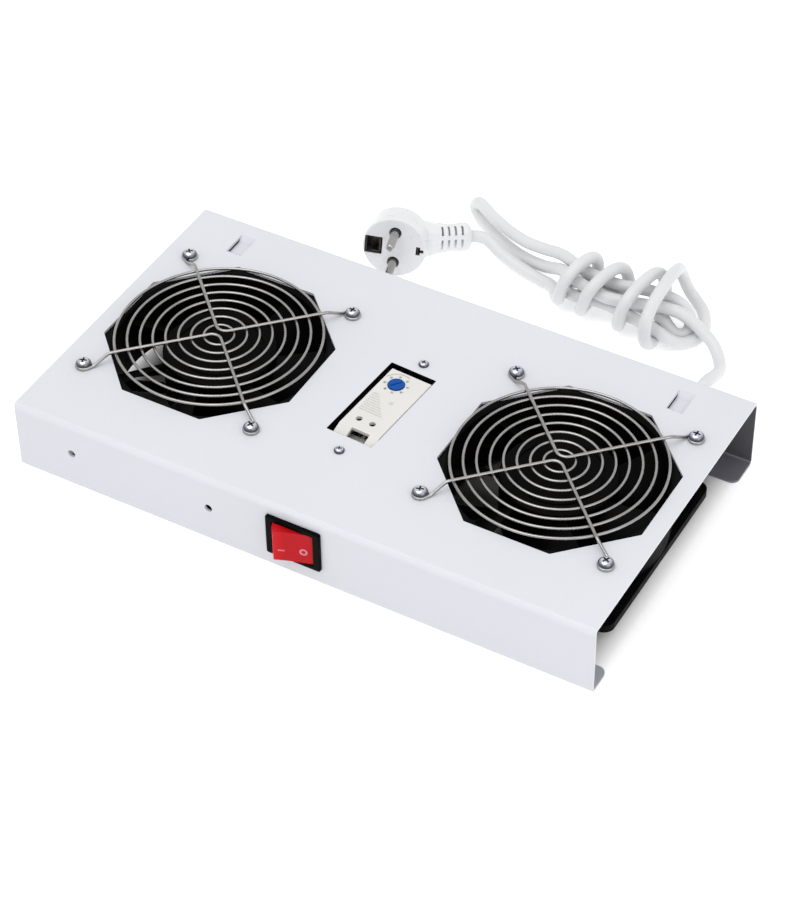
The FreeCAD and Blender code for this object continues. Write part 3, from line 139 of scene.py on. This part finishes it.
# --------------------------------------------------------------- materials
class Mat:
    """A Principled material with a few procedural helpers. Coordinates are object ones, in metres."""

    def __init__(self, name):
        self.m = bpy.data.materials.new(name)
        self.m.use_nodes = True
        self.t = self.m.node_tree
        self.t.nodes.clear()
        out = self.t.nodes.new("ShaderNodeOutputMaterial")
        self.b = self.t.nodes.new("ShaderNodeBsdfPrincipled")
        self.t.links.new(self.b.outputs[0], out.inputs[0])
        self.co = self.t.nodes.new("ShaderNodeTexCoord").outputs["Object"]

    def set(self, **kw):
        for k, v in kw.items():
            self.b.inputs[k.replace("_", " ")].default_value = v
        return self

    def node(self, kind, **kw):
        n = self.t.nodes.new(kind)
        for k, v in kw.items():
            setattr(n, k, v)
        return n

    def link(self, a, b):
        self.t.links.new(a, b)

    def scaled(self, s):
        n = self.node("ShaderNodeMapping")
        n.inputs["Scale"].default_value = s
        self.link(self.co, n.inputs["Vector"])
        return n.outputs[0]

    def noise(self, scale, detail=3.0, rough=0.55, co=None, distortion=0.0):
        n = self.node("ShaderNodeTexNoise")
        n.inputs["Scale"].default_value = scale
        n.inputs["Detail"].default_value = detail
        n.inputs["Roughness"].default_value = rough
        n.inputs["Distortion"].default_value = distortion
        self.link(co or self.co, n.inputs["Vector"])
        return n.outputs["Fac"]

    def ramp(self, fac, stops):
        n = self.node("ShaderNodeValToRGB")
        e = n.color_ramp.elements
        while len(e) < len(stops):
            e.new(0.5)
        for i, (p, c) in enumerate(stops):
            e[i].position = p
            e[i].color = (c[0], c[1], c[2], 1.0) if hasattr(c, "__len__") else (c, c, c, 1.0)
        self.link(fac, n.inputs[0])
        return n.outputs[0]

    def span(self, fac, a, b, lo=0.3, hi=0.7):
        n = self.node("ShaderNodeMapRange")
        n.inputs["From Min"].default_value = lo
        n.inputs["From Max"].default_value = hi
        n.inputs["To Min"].default_value = a
        n.inputs["To Max"].default_value = b
        self.link(fac, n.inputs["Value"])
        return n.outputs[0]

    def mix(self, fac, a, b):
        n = self.node("ShaderNodeMix", data_type="RGBA")
        for s, v in ((n.inputs[0], fac), (n.inputs[6], a), (n.inputs[7], b)):
            if isinstance(v, bpy.types.NodeSocket):
                self.link(v, s)
            else:
                s.default_value = v if not hasattr(v, "__len__") else (v[0], v[1], v[2], 1.0)
        return n.outputs[2]

    def bump(self, *layers):
        """Each layer is (height, strength, distance in metres)."""
        last = None
        for h, s, d in layers:
            n = self.node("ShaderNodeBump")
            n.inputs["Strength"].default_value = s
            n.inputs["Distance"].default_value = d
            self.link(h, n.inputs["Height"])
            if last is not None:
                self.link(last, n.inputs["Normal"])
            last = n.outputs[0]
        self.link(last, self.b.inputs["Normal"])
        return self

    def calc(self, op, a, b=None, c=None):
        n = self.node("ShaderNodeMath", operation=op)
        for i, v in enumerate((a, b, c)):
            if v is None:
                continue
            if isinstance(v, bpy.types.NodeSocket):
                self.link(v, n.inputs[i])
            else:
                n.inputs[i].default_value = v
        return n.outputs[0]

    def within(self, v, lo, hi, soft=0.0001):
        """1 between lo and hi, falling to 0 over soft metres outside."""
        a = self.span(v, 0.0, 1.0, lo - soft, lo)
        b = self.span(v, 1.0, 0.0, hi, hi + soft)
        return self.calc("MULTIPLY", a, b)

    def axes(self, loc=(0, 0, 0), rot=(0, 0, 0), co=None):
        """x, y, z in a frame standing at loc and turned by rot, both in metres and radians."""
        n = self.node("ShaderNodeMapping", vector_type="TEXTURE")
        n.inputs["Location"].default_value = loc
        n.inputs["Rotation"].default_value = rot
        self.link(co or self.co, n.inputs["Vector"])
        x = self.node("ShaderNodeSeparateXYZ")
        self.link(n.outputs[0], x.inputs[0])
        return x.outputs[0], x.outputs[1], x.outputs[2]

    def normal(self):
        x = self.node("ShaderNodeSeparateXYZ")
        self.link(self.node("ShaderNodeTexCoord").outputs["Normal"], x.inputs[0])
        return x.outputs[0], x.outputs[1], x.outputs[2]

    def radius(self, x, y, cx=0.0, cy=0.0):
        dx, dy = self.calc("SUBTRACT", x, cx), self.calc("SUBTRACT", y, cy)
        return self.calc("SQRT", self.calc("ADD", self.calc("MULTIPLY", dx, dx), self.calc("MULTIPLY", dy, dy)))

    def base(self, s):
        self.link(s, self.b.inputs["Base Color"])
        return self

    def rough(self, s):
        self.link(s, self.b.inputs["Roughness"])
        return self


def tint(c, k):
    return (c[0] * k, c[1] * k, c[2] * k)


def powder_coat(name, c, r0=0.34, r1=0.46):
    a = Mat(name)
    big = a.noise(9.0, 4.0, 0.6)
    fine = a.noise(900.0, 2.0, 0.5)
    col = a.mix(a.span(big, 0.0, 1.0), tint(c, 0.975), tint(c, 1.01))
    col = a.mix(a.span(fine, 0.0, 0.35, 0.35, 0.65), col, tint(c, 0.955))
    # painted shade inside the channels (of noisy strength), but not on the two sunken straps; painted shade on the rear
    # flange's inner face and its lip, a painted black shade on the edge of the thermostat's cut-out, and painted shade
    # on the front flange
    x, y, z = a.axes((0.0, Y_OFF, 0.0))
    ax = a.calc("ABSOLUTE", x)
    strap = a.calc("MULTIPLY", a.calc("MULTIPLY", a.within(ax, 0.1310, 0.1405, 0.0003), a.within(y, 0.0668, 0.0842, 0.0003)),
                   a.span(z, 0.0, 1.0, 0.0380, 0.0390))
    open_ = a.calc("SUBTRACT", 1.0, strap)
    low = a.calc("MULTIPLY", a.span(z, 1.0, 0.0, 0.0405, 0.0422), open_)
    channel_shade = a.calc("MULTIPLY", low, a.within(y, -0.0932, 0.0932, 0.0003))
    back = a.calc("MULTIPLY", a.calc("MULTIPLY", low, a.span(z, 0.0, 1.0, 0.0016, 0.0024)), a.within(y, 0.060, 0.0939, 0.0003))
    # painted shade: the inside of the channels below the plate is made grey, of noisy strength
    col = a.mix(a.calc("MULTIPLY", channel_shade, a.span(a.noise(30.0, 4.0), 0.40, 0.55)), col, (0.24, 0.235, 0.27))
    # painted shade: the rear flange's inner face is made nearly black and its lip dark grey
    col = a.mix(a.calc("MULTIPLY", back, 0.90), col, (0.036, 0.034, 0.041))
    lip_shade = a.calc("MULTIPLY", a.within(z, -0.0005, 0.0042, 0.0006), a.within(y, 0.0745, 0.0928, 0.0010))
    col = a.mix(a.calc("MULTIPLY", lip_shade, 0.85), col, (0.105, 0.098, 0.122))
    # painted shade: the edge of the thermostat's cut-out is made black, with no specular
    u, v, w = a.axes((0.0005, Y_OFF - 0.0035, 0.0), (0, 0, math.radians(-3.9)))
    cutout_rim_shade = a.calc("MULTIPLY", a.calc("MULTIPLY", a.within(u, -0.0158, 0.0131, 0.0001), a.within(v, -0.0300, 0.0324, 0.0001)),
                 a.span(w, 1.0, 0.0, 0.04385, 0.04398))
    col = a.mix(cutout_rim_shade, col, (0.006, 0.006, 0.007))
    # painted shade: the front flange's outer face is made greyer than the plate
    front = a.calc("MULTIPLY", a.span(y, 1.0, 0.0, -0.0950, -0.0938), a.span(z, 1.0, 0.0, 0.0395, 0.0430))
    col = a.mix(a.calc("MULTIPLY", front, 0.5), col, (0.50, 0.505, 0.545))
    a.base(col)
    a.rough(a.calc("MAXIMUM", a.span(a.noise(45.0, 5.0, 0.6), r0, r1), cutout_rim_shade))
    a.link(a.span(cutout_rim_shade, 0.35, 0.0, 0.0, 0.5), a.b.inputs["Specular IOR Level"])
    peel = a.noise(620.0, 2.0, 0.45)
    grain = a.noise(2600.0, 2.0, 0.5)
    a.bump((peel, 0.22, 0.00012), (grain, 0.10, 0.00005))
    return a.m


def plastic(name, c, r=0.35, dr=0.08, grain=1500.0, depth=0.00003, sss=0.0, radius=(0.004, 0.004, 0.004), coat=0.0, spec=0.5, marks=None):
    a = Mat(name)
    big = a.noise(30.0, 4.0, 0.6)
    col = a.mix(a.span(big, 0.0, 1.0), tint(c, 0.965), tint(c, 1.02))
    if marks:
        col = marks(a, col)
    a.base(col)
    a.rough(a.span(a.noise(110.0, 5.0, 0.65), r - dr, r + dr))
    a.bump((a.noise(grain, 2.0, 0.5), 0.35, depth), (a.noise(grain / 9.0, 2.0, 0.5), 0.15, depth * 3))
    a.set(Specular_IOR_Level=spec, Coat_Weight=coat, Coat_Roughness=0.12)
    if sss:
        a.set(Subsurface_Weight=sss, Subsurface_Scale=1.0, Subsurface_Radius=radius)
    return a.m


def metal(name, c, r=0.25, dr=0.08, c2=None, scratch=(1.0, 1.0, 1.0), sscale=900.0, depth=0.00002, spot=0.35, side_shade=0.0):
    a = Mat(name)
    a.set(Metallic=1.0)
    big = a.noise(120.0, 4.0, 0.6)
    col = a.mix(a.span(big, 0.0, 1.0), c, c2 or tint(c, 0.86))
    tarnish = a.noise(420.0, 5.0, 0.7)
    col = a.mix(a.span(tarnish, 0.0, spot, 0.52, 0.75), col, tint(c, 0.62))
    if side_shade:
        # painted shade and painted dark reflection: steep sides and the cross recess are given a dark colour
        nz = a.calc("ABSOLUTE", a.normal()[2])
        col = a.mix(a.calc("MULTIPLY", a.span(nz, 1.0, 0.0, 0.66, 0.93), side_shade), col, (0.030, 0.028, 0.060))
    a.base(col)
    a.rough(a.span(a.noise(300.0, 6.0, 0.65), r - dr, r + dr))
    a.bump((a.noise(sscale, 3.0, 0.6, co=a.scaled(scratch)), 0.3, depth))
    return a.m


def label_marks(a, col):
    """Ticks round the dial, a thin arc, a dot and plain ruled lines on the thermostat's cover."""
    x, y, z = a.axes((0.0005, Y_OFF - 0.0035, 0.0), (0, 0, math.radians(-3.9)))
    top = a.span(z, 0.0, 1.0, 0.0440, 0.0443)
    kx, ky = -0.0030, 0.0175
    r = a.radius(x, y, kx, ky)
    ang = a.calc("ARCTAN2", a.calc("SUBTRACT", y, ky), a.calc("SUBTRACT", x, kx))
    turn = a.calc("FRACT", a.calc("MULTIPLY", a.calc("ADD", ang, 3.3), 8.0 / (2 * math.pi)))
    tick = a.calc("MULTIPLY", a.within(r, 0.0058, 0.0071, 0.0003), a.within(turn, 0.36, 0.60, 0.06))
    grey = a.span(a.noise(420.0, 2.0), 0.45, 0.95)
    col = a.mix(a.calc("MULTIPLY", a.calc("MULTIPLY", tick, grey), top), col, (0.16, 0.17, 0.15))
    arc = a.calc("MULTIPLY", a.within(r, 0.0083, 0.0089, 0.0003), a.within(ang, 1.2, 2.75, 0.12))
    col = a.mix(a.calc("MULTIPLY", a.calc("MULTIPLY", arc, 0.75), top), col, (0.36, 0.37, 0.33))
    dot = a.span(a.radius(x, y, 0.00285, 0.0037), 1.0, 0.0, 0.0010, 0.0016)
    col = a.mix(a.calc("MULTIPLY", a.calc("MULTIPLY", dot, 0.8), top), col, (0.50, 0.50, 0.48))
    rows = a.calc("FRACT", a.calc("MULTIPLY", y, 1.0 / 0.00175))
    line = a.within(rows, 0.30, 0.62, 0.15)
    slant = a.calc("ADD", x, a.calc("MULTIPLY", y, 0.75))
    block = a.calc("MULTIPLY", a.calc("MULTIPLY", a.within(y, -0.0085, 0.0072, 0.0004), a.within(x, -0.0098, 0.0056, 0.0004)),
                   a.span(slant, 1.0, 0.0, -0.0018, -0.0012))
    col = a.mix(a.calc("MULTIPLY", a.calc("MULTIPLY", a.calc("MULTIPLY", line, block), a.span(a.noise(700.0, 3.0), 0.25, 0.9)), top),
                col, (0.42, 0.41, 0.38))
    col = a.mix(a.calc("MULTIPLY", a.calc("MULTIPLY", block, 0.20), top), col, (0.55, 0.54, 0.50))
    return col


def rocker_marks_and_highlight(a, col):
    """The I and O of the switch, and a painted highlight towards the rocker's left end."""
    x, y, z = a.axes((0.0005, Y_OFF - 0.094, 0.0), (0, 0, math.radians(18.5)))
    front = a.span(y, 1.0, 0.0, -0.0046, -0.0042)
    bar = a.calc("MULTIPLY", a.within(x, -0.0078, -0.0046, 0.0003), a.within(z, 0.0202, 0.0209, 0.0003))
    r = a.radius(x, z, 0.0054, 0.0211)
    ring = a.within(r, 0.0013, 0.0020, 0.0003)
    both = a.calc("MULTIPLY", a.calc("MAXIMUM", a.calc("MULTIPLY", bar, 0.7), ring), front)
    # painted highlight: the rocker is made a lighter red towards its left end
    col = a.mix(a.span(x, 0.35, 0.0, -0.0095, -0.0045), col, (0.72, 0.010, 0.018))
    return a.mix(a.calc("MULTIPLY", both, 0.62), col, (0.62, 0.34, 0.42))


def plug_recess_shade(a, col):
    """Painted shade in the recesses of the plug's face: round the pins, in the earth window and in the slot by the
    neck.
    """
    q = Matrix(((PN.x, PB.x, PP.x), (PN.y, PB.y, PP.y), (PN.z, PB.z, PP.z))).to_euler("XYZ")
    x, y, z = a.axes(P_AT, tuple(q))
    face = a.within(z, -0.0100, 0.0012, 0.0002)
    ring = a.calc("MINIMUM", a.radius(x, y, 0.0, 0.0095), a.radius(x, y, 0.0, -0.0095))
    pit = a.calc("MULTIPLY", a.span(ring, 1.0, 0.0, 0.0031, 0.0037), a.within(z, -0.0040, 0.0005, 0.0002))
    win = a.calc("MULTIPLY", a.calc("MULTIPLY", a.within(x, -0.0175, -0.0068, 0.0002), a.within(y, -0.0058, 0.0058, 0.0002)),
                 a.within(z, -0.0100, -0.0010, 0.0006))
    slot = a.calc("MULTIPLY", a.calc("MULTIPLY", a.within(x, 0.0122, 0.0172, 0.0002), a.within(y, -0.0028, 0.0028, 0.0002)),
                  a.within(z, -0.0100, -0.0004, 0.0002))
    dark = a.calc("MULTIPLY", a.calc("MAXIMUM", a.calc("MAXIMUM", pit, win), slot), face)
    return a.mix(a.calc("MULTIPLY", dark, 0.93), col, (0.016, 0.015, 0.016))


PP = Vector((0.3281, -0.9277, 0.1783)).normalized()
PN = Vector((0.9446, 0.3233, -0.0566))
PN = (PN - PP * PN.dot(PP)).normalized()
PB = PP.cross(PN)
P_AT = (-0.0741, 0.1396 + Y_OFF, 0.02075)

MATS = {
    "tray_white": powder_coat("tray_white", (0.640, 0.647, 0.690)),
    "fan_frame_black": plastic("fan_frame_black", (0.0030, 0.0026, 0.0028), 0.55, 0.10, 700.0, 0.00006, spec=0.06),
    "impeller_black": plastic("impeller_black", (0.0020, 0.0018, 0.0019), 0.45, 0.08, 900.0, 0.00002, spec=0.04),
    "guard_chrome": metal("guard_chrome", (0.43, 0.42, 0.41), 0.26, 0.07, (0.34, 0.33, 0.32), (1, 1, 1), 1500.0, 0.00002, 0.3),
    "zinc_plated": metal("zinc_plated", (0.66, 0.70, 0.80), 0.24, 0.08, (0.70, 0.70, 0.68), (1, 1, 1), 1200.0, 0.00002, 0.4, side_shade=0.9),
    "steel": metal("steel", (0.50, 0.50, 0.52), 0.30, 0.08),
    "copper": metal("copper", (0.70, 0.30, 0.12), 0.32, 0.08, (0.60, 0.22, 0.08), (1, 1, 40), 200.0, 0.00010),
    "brass": metal("brass", (0.78, 0.58, 0.25), 0.28, 0.08),
    "nickel": metal("nickel", (0.46, 0.45, 0.44), 0.20, 0.06, (0.38, 0.37, 0.36), (1, 1, 1), 1500.0, 0.00001, 0.25),
    "thermostat_white": plastic("thermostat_white", (0.70, 0.69, 0.655), 0.44, 0.06, 1800.0, 0.00003, 0.05, spec=0.35),
    "terminal_white": plastic("terminal_white", (0.62, 0.62, 0.60), 0.45, 0.06),
    "foot_grey": plastic("foot_grey", (0.05, 0.055, 0.06), 0.5, 0.06),
    "knob_blue": plastic("knob_blue", (0.006, 0.070, 0.32), 0.45, 0.06, 1600.0, 0.00002, spec=0.12),
    "switch_black": plastic("switch_black", (0.0022, 0.0022, 0.0025), 0.45, 0.07, 1500.0, 0.00002, spec=0.03),
    "rocker_red": plastic("rocker_red", (0.41, 0.0045, 0.0090), 0.24, 0.05, 500.0, 0.00001, spec=0.10, marks=rocker_marks_and_highlight),
    "lamp_glass": plastic("lamp_glass", (0.75, 0.55, 0.40), 0.10, 0.03),
    "cord_white": plastic("cord_white", (0.655, 0.66, 0.667), 0.36, 0.07, 1100.0, 0.00004, 0.06, spec=0.4),
    "plug_white": plastic("plug_white", (0.72, 0.725, 0.735), 0.30, 0.06, 1300.0, 0.00003, 0.05, marks=plug_recess_shade),
    "core_brown": plastic("core_brown", (0.10, 0.035, 0.012), 0.40, 0.06),
    "earth_green_yellow": plastic("earth_green_yellow", (0.30, 0.42, 0.02), 0.40, 0.06),
    "lead_black": plastic("lead_black", (0.012, 0.012, 0.013), 0.38, 0.06),
}
def housing_shade(a, col):
    """Painted shade: the thermostat's body is made black in the gap beside its pale front."""
    x, y, z = a.axes((0.0, Y_OFF, 0.0))
    return a.mix(a.within(z, 0.0260, 0.0434, 0.0020), col, (0.006, 0.006, 0.007))


def cover_print_and_shade(a, col):
    x, y, z = a.axes((0.0, Y_OFF, 0.0))
    col = label_marks(a, col)
    # painted shade: the cover is made nearly black below its upper part
    return a.mix(a.span(z, 1.0, 0.0, 0.0360, 0.0400), col, (0.020, 0.020, 0.022))


OWN = {"thermostat_cover": plastic("thermostat_white_printed_shaded", (0.67, 0.66, 0.635), 0.44, 0.06, 1800.0, 0.00003, spec=0.3, marks=cover_print_and_shade),
       "thermostat_housing": plastic("thermostat_white_shaded", (0.70, 0.69, 0.655), 0.44, 0.06, 1800.0, 0.00003, spec=0.15, marks=housing_shade),
       # the plug's earth contacts get a dark nickel colour
       "plug_earth_contacts": metal("nickel_darkened", (0.10, 0.085, 0.07), 0.35, 0.08, (0.05, 0.045, 0.04)),
       "thermostat_terminal_screws": metal("steel_dark", (0.10, 0.10, 0.09), 0.40, 0.08)}

for row in frame["record"]["subparts"]:
    o = nodes[row["node"]]
    o.data.materials.clear()
    o.data.materials.append(OWN.get(row["node"], MATS[row["material_slot"]]))
curve.materials.append(MATS["cord_white"])

# ------------------------------------------------------- floor and lighting
def link(o):
    scene.collection.objects.link(o)
    return o


fl = bpy.data.meshes.new("floor")
fl.from_pydata([(-4, -4, -0.0002), (4, -4, -0.0002), (4, 4, -0.0002), (-4, 4, -0.0002)], [], [(0, 1, 2, 3)])
floor = link(bpy.data.objects.new("floor", fl))
fm = Mat("floor_paper")
fm.rough(fm.span(fm.noise(20.0, 4.0), 0.75, 0.9))
fm.set(Emission_Color=(1.0, 1.0, 1.0, 1.0))
fx, fy, fz = fm.axes((0.0, Y_OFF, 0.0))
# painted shadow: under the tray's footprint the floor is made dark grey and gets no glow; outside it the floor glows
# white
tray_shadow = fm.calc("MULTIPLY", fm.within(fm.calc("ABSOLUTE", fx), -1.0, 0.150, 0.020), fm.within(fm.calc("ABSOLUTE", fy), -1.0, 0.075, 0.018))
fm.link(fm.span(tray_shadow, 0.34, 0.0, 0.0, 1.0), fm.b.inputs["Emission Strength"])
paper = fm.mix(fm.noise(3.0, 3.0), (0.955, 0.955, 0.955), (0.975, 0.975, 0.975))
fm.base(fm.mix(fm.calc("MULTIPLY", tray_shadow, 0.90), paper, (0.035, 0.032, 0.030)))
fl.materials.append(fm.m)

world = bpy.data.worlds.new("studio")
scene.world = world
world.use_nodes = True
bg = world.node_tree.nodes["Background"]
bg.inputs[0].default_value = (1.0, 1.0, 1.0, 1.0)
bg.inputs[1].default_value = 0.86


def area(name, loc, target, size, power, color=(1, 1, 1)):
    d = bpy.data.lights.new(name, "AREA")
    d.shape = "RECTANGLE"
    d.size, d.size_y = size
    d.energy = power
    d.color = color
    o = link(bpy.data.objects.new(name, d))
    o.location = loc
    o.rotation_mode = "QUATERNION"
    o.rotation_quaternion = (Vector(loc) - Vector(target)).to_track_quat("Z", "Y")
    return o


area("key", (-0.35, -0.45, 2.2), (0, 0.05, 0), (1.8, 1.8), 20.0)
area("fill", (1.6, -0.6, 1.2), (0, 0, 0), (1.4, 1.4), 6.0)

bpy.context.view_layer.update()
import json
